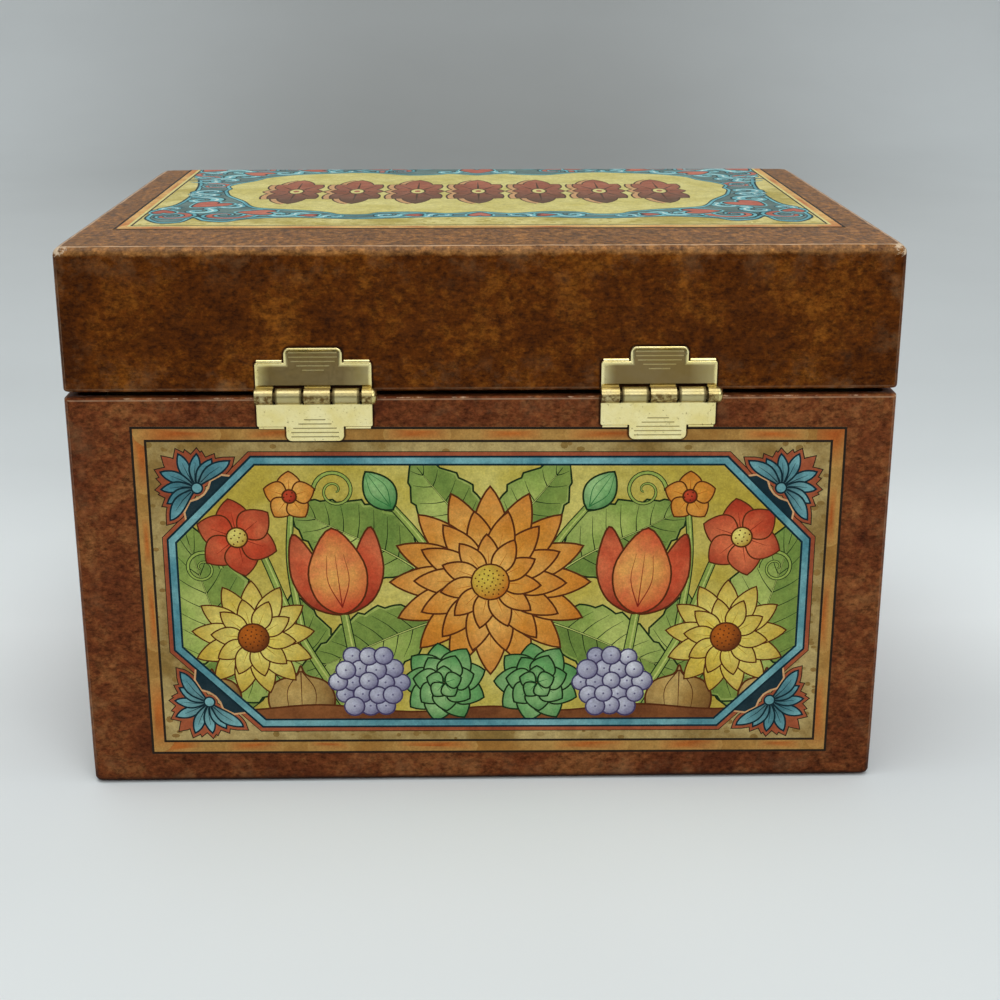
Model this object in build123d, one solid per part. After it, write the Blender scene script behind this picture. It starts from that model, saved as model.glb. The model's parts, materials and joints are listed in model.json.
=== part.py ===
"""Hinged paperboard box for 5 x 3 inch index cards: a covered board base, a covered board lid
and two stamped brass hinges on the back. Millimetres, +Z up, front towards -Y, hinges at +Y,
origin at the centre of the underside."""

from build123d import *
import os

# Overall size
box_width = 140.0
box_depth = 106.6
base_height = 71.3  # underside to the base's rim
lid_height = 24.2
seam_gap = 1.0  # between the two rims when the lid is shut

# Board and papers
board_thickness = 1.8
cover_paper = 0.25
lining_paper = 0.2
stay_paper = 0.15
underside_paper = 0.25
corner_radius = 1.5  # upright corners, outside
lid_rounding = 1.4  # round the lid's top, outside
fold_rounding = 0.8  # round the base's underside, outside
rim_rounding = 0.45
inside_corner = 1.0  # upright corners of the bare board, inside
turn_in = 10.0  # how far the cover paper goes down inside the rim
bottom_flange = 12.0  # how far it goes under the base
underside_margin = 4.0  # bare edge round the underside sheet
lining_reveal = 5.0  # turned-in cover paper left showing above the lining
stay_leg = 18.0  # each leg of the paper angle that holds an upright corner
stay_margin = 3.0  # stay stops this far short of the closed side
sheet_clearance = 0.05

# Hinges
hinge_spacing = 57.6
hinge_shift = -0.7  # the pair sits a little off the middle
leaf_width = 19.4
leaf_thickness = 0.5
leaf_shoulder = 5.5  # pin axis to the leaf's shoulders
tab_width = 9.7
tab_length = 2.5  # beyond the shoulders
tab_corner = 1.0
shoulder_corner = 0.35
leaf_edge_rounding = 0.16
knuckle_lengths = (3.0, 4.3, 4.3, 4.4, 1.6)  # from the pin's plain end to its head
knuckle_gap = 0.45
notch_clearance = 0.3
pin_radius = 0.8
pin_running_clearance = 0.05
pin_grip_clearance = 0.01
pin_head_length = 0.85
groove_lengths = (8.0, 8.0, 7.3, 5.5, 3.6)  # from the tab's end towards the pin
groove_first = 0.8  # tab's end to the first groove
groove_pitch = 0.74
groove_width = 0.2
groove_depth = 0.1
prong_width = 4.2
prong_inset = 0.3  # from the tab's side
prong_clinch = 1.6  # turned over inside the board
prong_clearance = 0.05

# Worked out from those
box_height = base_height + seam_gap + lid_height
board_width = box_width - 2 * cover_paper
board_depth = box_depth - 2 * cover_paper
inner_width = board_width - 2 * board_thickness
inner_depth = board_depth - 2 * board_thickness
barrel_radius = pin_radius + pin_running_clearance + leaf_thickness
axis_y = box_depth / 2 + barrel_radius
axis_z = base_height + seam_gap / 2
skin_and_board = cover_paper + board_thickness
lined_inset = cover_paper + lining_paper


def block(width, depth, low, high, radius):
    """An upright block with rounded upright corners."""
    return Pos(0, 0, low) * extrude(RectangleRounded(width, depth, radius), high - low)


def inside(inset, low, high):
    """The space inside the board walls, less an inset all round."""
    radius = inside_corner - inset
    return block(inner_width - 2 * inset, inner_depth - 2 * inset, low, high, radius)


def span(x0, x1, y0, y1, z0, z1):
    """A plain box between two corners."""
    middle = Pos((x0 + x1) / 2, (y0 + y1) / 2, (z0 + z1) / 2)
    return middle * Box(x1 - x0, y1 - y0, z1 - z0)


# Each tray is modelled standing on its closed side, with its rim up. closed is the height at
# which its cover paper starts, and height is the rim's.


def board_outside(closed, height, rounding):
    solid = block(
        board_width,
        board_depth,
        closed + cover_paper,
        height - cover_paper,
        corner_radius - cover_paper,
    )
    return fillet(solid.edges().group_by(Axis.Z)[0], rounding - cover_paper)


def corner_stays(closed, height):
    low = closed + cover_paper + stay_margin
    high = height - cover_paper
    outer = block(board_width, board_depth, low, high, corner_radius - cover_paper)
    inner = block(
        board_width - 2 * stay_paper,
        board_depth - 2 * stay_paper,
        low,
        high,
        corner_radius - cover_paper - stay_paper,
    )
    plain = board_width - 2 * stay_leg, board_depth - 2 * stay_leg
    band = outer - inner
    band -= span(-plain[0] / 2, plain[0] / 2, -box_depth, box_depth, low, high)
    return band - span(-box_width, box_width, -plain[1] / 2, plain[1] / 2, low, high)


def board_tray(closed, height, rounding, stays):
    floor_top = closed + skin_and_board
    return board_outside(closed, height, rounding) - inside(0, floor_top, height) - stays


def cover(closed, height, rounding, flange):
    """Printed cover paper: outside, over the rim and down inside it, and under the base."""
    outside = block(box_width, box_depth, closed, height, corner_radius)
    outside = fillet(outside.edges().group_by(Axis.Z)[0], rounding)
    paper = outside - board_outside(closed, height, rounding)
    paper -= inside(cover_paper, height - cover_paper, height)
    paper += inside(0, height - turn_in, height - cover_paper) - inside(
        cover_paper, height - turn_in, height - cover_paper
    )
    if flange:
        paper -= flange_opening(closed, closed + cover_paper)
    return fillet(paper.edges().group_by(Axis.Z)[-1], rim_rounding)


def flange_opening(low, high):
    width = box_width - 2 * bottom_flange
    depth = box_depth - 2 * bottom_flange
    return block(width, depth, low, high, corner_radius)


def wall_lining(closed, height):
    """Plain paper on the walls, thicker below the turned-in cover, so its face is flush."""
    low = closed + skin_and_board
    step = height - turn_in
    lower = inside(0, low, step) - inside(lined_inset, low, step)
    top = height - lining_reveal
    return lower + (inside(cover_paper, step, top) - inside(lined_inset, step, top))


def floor_lining(closed):
    low = closed + skin_and_board
    return inside(lined_inset + sheet_clearance, low, low + lining_paper)


def underside_sheet():
    margin = 2 * underside_margin
    sheet = block(
        box_width - margin, box_depth - margin, 0, underside_paper, corner_radius
    )
    return sheet + flange_opening(0, underside_paper + cover_paper)


# A hinge is modelled about its pin: X along the pin, the box at -Y and the leaf up +Z.


def knuckle_spans():
    """(low x, high x) of each knuckle, from the pin's plain end at +X to its head."""
    spans = []
    right = leaf_width / 2
    for length in knuckle_lengths:
        spans.append((right - length, right))
        right -= length + knuckle_gap
    return spans


def rod(radius, x0, x1):
    return Pos((x0 + x1) / 2, 0, 0) * Rot(0, 90, 0) * Cylinder(radius, x1 - x0)


def prongs(clearance):
    """The two points that are pushed through the board and turned over inside it."""
    y_out = leaf_thickness - barrel_radius
    y_in = -barrel_radius - skin_and_board
    points = []
    for side in (-1, 1):
        near = side * (tab_width / 2 + prong_inset)
        far = near + side * prong_width
        x0, x1 = min(near, far) - clearance, max(near, far) + clearance
        low = leaf_shoulder - clearance
        high = leaf_shoulder + leaf_thickness + clearance
        shank = span(x0, x1, y_in, y_out, low, high)
        bend = shank.edges().filter_by(Axis.X).sort_by(Axis.Y)[-2:].sort_by(Axis.Z)[-1]
        shank = fillet(bend, leaf_thickness * 0.8)
        clinch = span(x0, x1, y_in, y_in + leaf_thickness, low, high + prong_clinch)
        points.append(shank + clinch)
    return points


def leaf(own, others, bore_clearance):
    """A stamped leaf that stands up from the pin, curled round it at its own knuckles."""
    top = leaf_shoulder + tab_length
    plate = Pos(0, leaf_shoulder / 2) * Rectangle(leaf_width, leaf_shoulder)
    plate = fillet(plate.vertices().group_by(Axis.Y)[-1], shoulder_corner)
    tab = Pos(0, top - tab_length) * Rectangle(tab_width, 2 * tab_length)
    tab = fillet(tab.vertices().group_by(Axis.Y)[-1], tab_corner)
    outline = plate + tab
    y_out = leaf_thickness - barrel_radius
    face = Plane((0, y_out, 0), x_dir=(1, 0, 0), z_dir=(0, -1, 0))
    metal = face * extrude(outline, leaf_thickness)
    rounded = metal.faces().sort_by(Axis.Y)[-1].edges()
    metal = fillet(rounded, leaf_edge_rounding)
    notch = barrel_radius + notch_clearance
    for x0, x1 in others:
        x0, x1 = x0 - knuckle_gap, x1 + knuckle_gap
        metal -= span(x0, x1, -2 * barrel_radius, barrel_radius, -1, notch)
    for x0, x1 in own:
        metal += rod(barrel_radius, x0, x1)
    metal -= rod(pin_radius + bore_clearance, -leaf_width, leaf_width)
    for number, length in enumerate(groove_lengths):
        z = top - groove_first - number * groove_pitch
        half = length / 2, groove_width / 2
        metal -= span(-half[0], half[0], y_out - groove_depth, y_out, z - half[1], z + half[1])
    for point in prongs(0):
        metal += point
    return metal


def hinge_pin():
    """Plain pin, flush at its +X end, with a domed head at the other."""
    end = leaf_width / 2
    head = Pos(-end, 0, 0) * Rot(0, -90, 0) * Cylinder(
        barrel_radius, pin_head_length, align=(Align.CENTER, Align.CENTER, Align.MIN)
    )
    head = fillet(head.edges().group_by(Axis.X)[0], pin_head_length * 0.8)
    return head + rod(pin_radius, -end - pin_head_length / 2, end)


def flip(solid, height):
    """Turns a tray that stands on its closed side into one that hangs from it."""
    return Pos(0, 0, height) * Rot(180, 0, 0) * solid


# Base and lid trays, before the prongs' slots are cut
base_stays = corner_stays(underside_paper, base_height)
base_board = board_tray(underside_paper, base_height, fold_rounding, base_stays)
base_cover = cover(underside_paper, base_height, fold_rounding, flange=True)
lid_stays = flip(corner_stays(0, lid_height), box_height)
lid_board = board_tray(0, lid_height, lid_rounding, corner_stays(0, lid_height))
lid_board = flip(lid_board, box_height)
lid_cover = flip(cover(0, lid_height, lid_rounding, flange=False), box_height)

nodes = {
    "base_corner_stays": base_stays,
    "base_wall_lining": wall_lining(underside_paper, base_height),
    "base_floor_lining": floor_lining(underside_paper),
    "base_underside_sheet": underside_sheet(),
    "lid_corner_stays": lid_stays,
    "lid_wall_lining": flip(wall_lining(0, lid_height), box_height),
    "lid_top_lining": flip(floor_lining(0), box_height),
}

# Hinges: knuckles 1, 3 and 5 are the lid leaf's, 2 and 4 the base leaf's
spans = knuckle_spans()
lid_leaf = leaf(spans[0::2], spans[1::2], pin_grip_clearance)
base_leaf = mirror(leaf(spans[1::2], spans[0::2], pin_running_clearance), Plane.XY)
for name, side in (("left", 1), ("right", -1)):
    place = Pos(hinge_shift + side * hinge_spacing / 2, axis_y, axis_z)
    nodes[f"{name}_hinge_lid_leaf"] = place * lid_leaf
    nodes[f"{name}_hinge_base_leaf"] = place * base_leaf
    nodes[f"{name}_hinge_pin"] = place * hinge_pin()
    for slot in prongs(prong_clearance):
        lid_board -= place * slot
        lid_cover -= place * slot
        base_board -= place * mirror(slot, Plane.XY)
        base_cover -= place * mirror(slot, Plane.XY)

nodes["base_board"] = base_board
nodes["base_cover"] = base_cover
nodes["lid_board"] = lid_board
nodes["lid_cover"] = lid_cover

os.makedirs("parts", exist_ok=True)
for name, solid in nodes.items():
    export_step(solid, f"parts/{name}.step")
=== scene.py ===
import json
import math
import random

import bpy
import numpy as np
from mathutils import Matrix, Vector, noise
from mathutils.geometry import delaunay_2d_cdt


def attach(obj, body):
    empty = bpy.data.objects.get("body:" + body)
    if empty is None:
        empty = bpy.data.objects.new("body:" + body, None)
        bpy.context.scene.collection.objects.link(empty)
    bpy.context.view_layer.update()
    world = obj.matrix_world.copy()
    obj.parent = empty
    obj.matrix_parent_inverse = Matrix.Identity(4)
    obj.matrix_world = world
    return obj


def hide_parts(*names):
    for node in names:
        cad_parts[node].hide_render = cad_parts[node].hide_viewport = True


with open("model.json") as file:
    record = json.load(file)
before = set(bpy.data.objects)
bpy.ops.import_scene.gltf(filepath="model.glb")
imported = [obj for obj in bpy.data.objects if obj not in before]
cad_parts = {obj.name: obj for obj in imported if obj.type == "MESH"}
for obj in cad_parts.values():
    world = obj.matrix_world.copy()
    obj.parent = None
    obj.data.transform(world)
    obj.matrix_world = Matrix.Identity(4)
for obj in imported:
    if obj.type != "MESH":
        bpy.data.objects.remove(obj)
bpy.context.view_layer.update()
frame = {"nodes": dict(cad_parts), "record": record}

# Sizes in millimetres, as in the part's source
MM = 0.001
WIDTH, DEPTH = 140.0, 106.6
BASE_RIM, LID_RIM, TOP = 71.3, 72.3, 96.5
UNDERSIDE_PAPER = 0.25
SKIN = 0.25  # cover paper
BOARD = 1.8
RECESS = 0.05  # cover paper's face behind the printed panels' face
CORNER = 1.5
BASE_FOLD, LID_FOLD = 0.8, 1.4  # rounding of the closed side's folds
RIM_ROUND = 0.42
TURN_IN = 10.0
FLANGE = 12.0
HINGE_HEIGHT, HINGE_SPACING, HINGE_SHIFT = 71.8, 57.6, -0.7
LEAF_FACE = 53.8
BARREL = 1.35  # radius of a hinge's knuckles
# Half width, pin to end and corner radius of a hinge leaf's shoulders and of its tab
LEAF_SHAPE = ((9.7, 5.5, 0.35), (4.85, 8.0, 1.0))
BASE_KNUCKLES = (4.1, -5.45)  # middles of the base leaf's two knuckles, along the hinge


# ---------------------------------------------------------------- camera and lights

# Solved from the corners of the box in the photo, in metres, radians and millimetres
CAMERA_PLACE = (0.002773, 0.322551, 0.140341)
CAMERA_YAW, CAMERA_PITCH, CAMERA_ROLL = -0.0212, 0.3134, 0.0001
CAMERA_LENS = 59.7


def set_camera():
    flat = math.cos(CAMERA_PITCH)
    ahead = Vector(
        (math.sin(CAMERA_YAW) * flat, -math.cos(CAMERA_YAW) * flat, -math.sin(CAMERA_PITCH))
    )
    camera = bpy.data.objects.new("camera", bpy.data.cameras.new("camera"))
    camera.data.sensor_width = 36.0
    camera.data.lens = CAMERA_LENS
    camera.data.clip_start = 0.01
    camera.data.clip_end = 20.0
    turn = ahead.to_track_quat("-Z", "Y").to_matrix() @ Matrix.Rotation(CAMERA_ROLL, 3, "Z")
    camera.matrix_world = Matrix.Translation(CAMERA_PLACE) @ turn.to_4x4()
    bpy.context.collection.objects.link(camera)
    bpy.context.scene.camera = camera


def add_area_light(name, place, target, size, watts, tint):
    data = bpy.data.lights.new(name, "AREA")
    data.shape = "RECTANGLE"
    data.size, data.size_y = size
    data.energy = watts
    data.color = tint
    lamp = bpy.data.objects.new(name, data)
    aim = (Vector(target) - Vector(place)).to_track_quat("-Z", "Y")
    lamp.matrix_world = Matrix.Translation(place) @ aim.to_matrix().to_4x4()
    bpy.context.collection.objects.link(lamp)


def add_sky():
    """World light: a dark room low down, pale above."""
    world = bpy.data.worlds.new("studio")
    bpy.context.scene.world = world
    world.use_nodes = True
    nodes, links = world.node_tree.nodes, world.node_tree.links
    direction = nodes.new("ShaderNodeTexCoord")
    height = nodes.new("ShaderNodeSeparateXYZ")
    sky = nodes.new("ShaderNodeValToRGB")
    stops = ((0.16, (0.085, 0.072, 0.05, 1.0)), (0.55, (0.56, 0.585, 0.61, 1.0)))
    for element, (position, tint) in zip(sky.color_ramp.elements, stops):
        element.position, element.color = position, tint
    links.new(direction.outputs["Generated"], height.inputs[0])
    links.new(height.outputs["Z"], sky.inputs["Fac"])
    links.new(sky.outputs["Color"], nodes["Background"].inputs["Color"])


# ---------------------------------------------------------------- material helpers


def colour(red, green, blue):
    """A colour given as 0-255 display values, as the linear values that Blender uses."""
    linear = []
    for value in (red, green, blue):
        value /= 255
        linear.append(value / 12.92 if value <= 0.04045 else ((value + 0.055) / 1.055) ** 2.4)
    return (*linear, 1.0)


class Value:
    """A number that a finish's nodes work out. Arithmetic with it adds the nodes."""

    def __init__(self, finish, socket):
        self.finish, self.socket = finish, socket

    def maths(self, operation, *values):
        node = self.finish.add("ShaderNodeMath", operation=operation)
        for value, socket in zip(values, node.inputs):
            self.finish.link(value, socket)
        return Value(self.finish, node.outputs[0])

    def __add__(self, other):
        return self.maths("ADD", self, other)

    def __sub__(self, other):
        return self.maths("SUBTRACT", self, other)

    def __rsub__(self, other):
        return self.maths("SUBTRACT", other, self)

    def __mul__(self, other):
        return self.maths("MULTIPLY", self, other)

    def __abs__(self):
        return self.maths("ABSOLUTE", self)

    def at_least(self, other):
        return self.maths("MAXIMUM", self, other)

    def at_most(self, other):
        return self.maths("MINIMUM", self, other)

    def sign(self):
        return self.maths("SIGN", self)

    def root(self):
        return self.maths("SQRT", self)


class Finish:
    """A material's node tree, with short calls for the nodes that the finishes share. Places
    are in millimetres."""

    def __init__(self, name):
        self.material = bpy.data.materials.new(name)
        self.material.use_nodes = True
        self.tree = self.material.node_tree
        self.shader = self.tree.nodes["Principled BSDF"]
        metres = self.add("ShaderNodeTexCoord").outputs["Object"]
        scaled = self.add("ShaderNodeVectorMath", operation="SCALE")
        self.link(metres, scaled.inputs[0])
        scaled.inputs["Scale"].default_value = 1 / MM
        self.place = scaled.outputs["Vector"]
        axes = self.add("ShaderNodeSeparateXYZ")
        self.link(self.place, axes.inputs[0])
        self.x, self.y, self.z = (Value(self, axes.outputs[letter]) for letter in "XYZ")

    def add(self, kind, **settings):
        node = self.tree.nodes.new(kind)
        for name, value in settings.items():
            setattr(node, name, value)
        return node

    def link(self, value, socket):
        if isinstance(value, Value):
            value = value.socket
        if isinstance(value, bpy.types.NodeSocket):
            self.tree.links.new(value, socket)
        elif value is not None:
            socket.default_value = value

    def stretched(self, scale):
        """The place, multiplied along each axis."""
        node = self.add("ShaderNodeVectorMath", operation="MULTIPLY")
        self.link(self.place, node.inputs[0])
        self.link(scale, node.inputs[1])
        return node.outputs["Vector"]

    def noise(self, size, detail=3.0, roughness=0.55, seed=0.0, scale=None):
        """Noise whose patches are about size millimetres across."""
        node = self.add("ShaderNodeTexNoise", noise_dimensions="4D")
        names = ("W", "Scale", "Detail", "Roughness")
        for name, value in zip(names, (seed, 1.0 / size, detail, roughness)):
            node.inputs[name].default_value = value
        self.link(self.stretched(scale) if scale else self.place, node.inputs["Vector"])
        return Value(self, node.outputs["Fac"])

    def spread(self, value, low, high, to_low=0.0, to_high=1.0, curve="LINEAR"):
        node = self.add("ShaderNodeMapRange", interpolation_type=curve)
        names = ("Value", "From Min", "From Max", "To Min", "To Max")
        for name, number in zip(names, (value, low, high, to_low, to_high)):
            self.link(number, node.inputs[name])
        return Value(self, node.outputs["Result"])

    def patches(self, size, detail, roughness, seed, *spread):
        """Noise spread from a low and a high level to two others."""
        return self.spread(self.noise(size, detail, roughness, seed), *spread)

    def ramp(self, value, *stops):
        node = self.add("ShaderNodeValToRGB")
        elements = node.color_ramp.elements
        while len(elements) < len(stops):
            elements.new(0.5)
        for element, (position, tint) in zip(elements, stops):
            element.position, element.color = position, tint
        self.link(value, node.inputs["Fac"])
        return node.outputs["Color"]

    def mix(self, share, a, b, blend="MIX"):
        node = self.add("ShaderNodeMix", data_type="RGBA", blend_type=blend)
        for value, number in ((share, 0), (a, 6), (b, 7)):
            self.link(value, node.inputs[number])
        return node.outputs[2]

    def shaded(self, paint, shade):
        return self.mix(1.0, paint, shade, "MULTIPLY")

    def attribute(self, name):
        return self.add("ShaderNodeAttribute", attribute_name=name).outputs["Color"]

    def bump(self, height, depth, strength=1.0, after=None):
        """Height from 0 to 1 stands for depth millimetres."""
        node = self.add("ShaderNodeBump")
        node.inputs["Strength"].default_value = strength
        node.inputs["Distance"].default_value = depth * MM
        self.link(height, node.inputs["Height"])
        self.link(after, node.inputs["Normal"])
        return node.outputs["Normal"]

    def done(self, **sockets):
        names = {
            "base": "Base Color",
            "rough": "Roughness",
            "metal": "Metallic",
            "normal": "Normal",
            "specular": "Specular IOR Level",
        }
        for key, value in sockets.items():
            self.link(value, self.shader.inputs[names[key]])
        return self.material


# ---------------------------------------------------------------- finishes

# painted contact shadow, with dirt, for the line round the hinge leaves
DIRT_AND_SHADOW = colour(24, 12, 4)
FOOT_SHADOW = colour(26, 14, 8)
RUBBED = colour(186, 142, 96)
WORN = colour(206, 172, 138)
BARE = colour(212, 188, 158)


def paper_grain(finish):
    """Normal of smooth printed paper over board: fine tooth and slow waves."""
    waves = finish.noise(17.0, 1.0, seed=4.0)
    return finish.bump(finish.noise(0.35, 2.0), 0.012, 0.7, after=finish.bump(waves, 0.35, 0.5))


def along_hinge(finish):
    """Place along a hinge from its middle."""
    place = finish.x - HINGE_SHIFT
    return place - place.sign() * (HINGE_SPACING / 2)


def leaf_depth(finish):
    """How far inside the outline of a hinge's leaves a place is, negative outside."""
    across = abs(along_hinge(finish))
    above = abs(finish.z - HINGE_HEIGHT)
    parts = []
    for half_width, reach, radius in LEAF_SHAPE:
        past_x, past_z = across - (half_width - radius), above - (reach - radius)
        out_x, out_z = past_x.at_least(0.0), past_z.at_least(0.0)
        corner = (out_x * out_x + out_z * out_z).root()
        parts.append(radius - (corner + past_x.at_least(past_z).at_most(0.0)))
    return parts[0].at_least(parts[1])


def hinge_shadow(finish, paint):
    """Paint with the dark line round each leaf: dirt and a painted contact shadow."""
    near = finish.spread(leaf_depth(finish), -0.42, -0.16)
    back = finish.spread(finish.y, 53.0, 53.1)
    return finish.mix(near * back * 0.8, paint, DIRT_AND_SHADOW)


def wear_lines(finish, low, high, fold):
    """How worn the paper is along its edges, how bare it is at its torn corner tips, and how far
    the nearest edge is. The worn lines are ragged ones along every edge, a thin one where the
    top folds over, one under the rim and one down each upright corner."""
    across, along = WIDTH / 2 - abs(finish.x), DEPTH / 2 - abs(finish.y)
    up, down = high - finish.z, finish.z - low
    closed, rim = (up, down) if fold else (down, up)
    end = up.at_most(down)
    wall, turn = across.at_most(along), across.at_least(along)
    edge = wall.at_least(turn.at_most(end))
    ragged = finish.patches(2.1, 5.0, 0.75, 6.0, 0.42, 0.8, 0.02, 0.6)
    worn = finish.spread(edge, ragged * 0.4, ragged, 0.9, 0.0)
    if fold:
        worn = worn * finish.spread(down, 0.8, 3.0, 0.3, 1.0)
    wander = finish.patches(7.0, 2.0, 0.55, 8.0, 0.3, 0.7, -0.12, 0.12)
    broken = finish.patches(2.6, 4.0, 0.7, 7.0, 0.3, 0.55, 0.3, 1.0)
    for distance, place, width, beside, reach, strength in (
        (wall, wander + (fold - 0.2), 0.28, closed, 0.4, 1.0 if fold else 0.5),
        (rim, 0.45, 0.17, wall, 0.3, 0.1 if fold else 0.38),
        (turn, 0.55, 0.22, wall, 0.4, 0.4),
    ):
        drawn = finish.spread(abs(distance - place), width * 0.4, width, strength, 0.0)
        near = finish.spread(beside, reach * 0.8, reach, 1.0, 0.0)
        worn = worn.at_least(drawn * near * broken)
    tip = (across * across + along * along + end * end).root()
    torn = finish.patches(1.1, 5.0, 0.75, 10.0, 0.34, 0.66, 0.4, 4.4)
    torn = torn * (finish.spread(up, 0.0, 5.0, 1.0, 0.22) if fold else 0.3)
    return worn, finish.spread(tip, torn * 0.7, torn, 1.0, 0.0), edge


def brown_paper(name, tints, low, high, fold, top_sheen_and_dust_tint):
    """Mottled brown leather print, scuffed to bare paper along the box's edges. The lid's is
    painted lighter on top, as dust and a painted sheen, and streaked there; the base's is painted
    darker towards the bottom as painted shade, with a painted shadow line at its foot."""
    finish = Finish(name)
    patches = finish.noise(12.0, 3.0, 0.6, 1.0)
    mottle = finish.noise(1.7, 7.0, 0.78, 2.0)
    speckle = finish.noise(0.62, 4.0, 0.72, 3.0, scale=(0.6, 0.6, 1.0))
    tone = finish.spread(patches * 0.5 + mottle * 0.5, 0.41, 0.61)
    paint = finish.ramp(tone, *zip((0.0, 0.5, 1.0), tints))
    grain = finish.spread(speckle, 0.34, 0.66, 0.42, 1.56)
    if top_sheen_and_dust_tint:
        # painted sheen and dust: the lid's top is painted a lighter tint
        above = high - finish.z + finish.patches(3.0, 4.0, 0.7, 12.0, 0.3, 0.7, -0.35, 0.35)
        dust_and_sheen = finish.spread(mottle, 0.36, 0.64, 0.16, 0.82)
        paint = finish.mix(finish.spread(above, 1.1, 1.6, 1.0, 0.0) * dust_and_sheen, paint, top_sheen_and_dust_tint)
        paint = finish.shaded(paint, grain)
        streaks = finish.noise(0.75, 5.0, 0.75, 14.0, scale=(1.0, 0.3, 1.0))
        streaked = finish.shaded(paint, finish.spread(streaks, 0.36, 0.64, 0.52, 1.4))
        paint = finish.mix(finish.spread(above, 0.6, 1.2, 1.0, 0.0), paint, streaked)
        sheen = finish.spread(above, 0.6, 1.2, 0.18, 0.05)
    else:
        paint = finish.shaded(paint, grain)
        # painted shade: the base's paint darker towards its foot
        paint = finish.shaded(paint, finish.spread(finish.z, 0.0, 34.0, 0.88, 1.0))
        sheen = 0.05
    worn, bare, edge = wear_lines(finish, low, high, fold)
    rubbed = finish.patches(5.0, 5.0, 0.7, 9.0, 0.5, 0.75, 0.0, 0.3)
    rubbed = rubbed * finish.spread(edge, 0.0, 7.0, 1.0, 0.06)
    for share, tint in ((rubbed, RUBBED), (worn, WORN), (bare, BARE)):
        paint = finish.mix(share, paint, tint)
    if not top_sheen_and_dust_tint:
        # painted shadow: a dark line at the base's foot, near its edges
        foot = finish.spread(finish.z, 2.0, 3.0, 1.0, 0.0)
        foot = foot * finish.spread(edge, 0.4, 1.1, 0.92, 0.0)
        paint = finish.mix(foot, paint, FOOT_SHADOW)
    # painted contact shadow and dirt round the hinge leaves
    paint = hinge_shadow(finish, paint)
    rough = finish.spread(mottle, 0.3, 0.7, 0.34, 0.5)
    return finish.done(base=paint, rough=rough, normal=paper_grain(finish), specular=sheen)


def printed_paper(name):
    """Printed picture: inks from the sheet's own attributes, as a soft watercolour."""
    finish = Finish(name)
    pools = finish.patches(8.0, 5.0, 0.6, 11.0, 0.34, 0.66, 0.0, 1.0, "SMOOTHSTEP")
    paint = finish.mix(pools, finish.attribute("ink"), finish.attribute("wash"))
    shade = finish.patches(1.1, 3.0, 0.6, 12.0, 0.3, 0.7, 0.86, 1.12)
    dots = finish.patches(0.3, 2.0, 0.7, 13.0, 0.3, 0.7, 0.84, 1.16)
    # painted contact shadow and dirt round the hinge leaves, over the print
    paint = hinge_shadow(finish, finish.shaded(paint, shade * dots))
    rough = finish.patches(3.2, 5.0, 0.55, 2.0, 0.3, 0.7, 0.34, 0.46)
    return finish.done(base=paint, rough=rough, normal=paper_grain(finish), specular=0.05)


def plain_paper(name, light, dark, fibre):
    """Uncoated paper with short fibres and a few specks."""
    finish = Finish(name)
    fibres = finish.noise(0.9, 3.0, 0.7, 2.0, scale=(1.0, 0.25, 0.25))
    tone = finish.spread(finish.noise(9.0, seed=1.0) * 0.5 + fibres * 0.5, 0.35, 0.65)
    specks = finish.patches(0.5, 0.0, 0.55, 5.0, 0.74, 0.8)
    paint = finish.mix(specks * 0.6, finish.ramp(tone, (0.0, dark), (1.0, light)), fibre)
    return finish.done(base=paint, rough=0.82, normal=finish.bump(fibres, 0.02, 0.8), specular=0.3)


def chipboard(name):
    """Grey-brown board with coarse flecks."""
    finish = Finish(name)
    flecks = finish.noise(0.8, 4.0, 0.75, 1.0)
    tone = finish.spread(flecks * 0.7 + finish.noise(5.0, 2.0, seed=2.0) * 0.3, 0.3, 0.7)
    tints = colour(120, 98, 70), colour(172, 150, 118), colour(200, 184, 156)
    paint = finish.ramp(tone, *zip((0.0, 0.6, 1.0), tints))
    return finish.done(base=paint, rough=0.9, normal=finish.bump(flecks, 0.06), specular=0.2)


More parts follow.
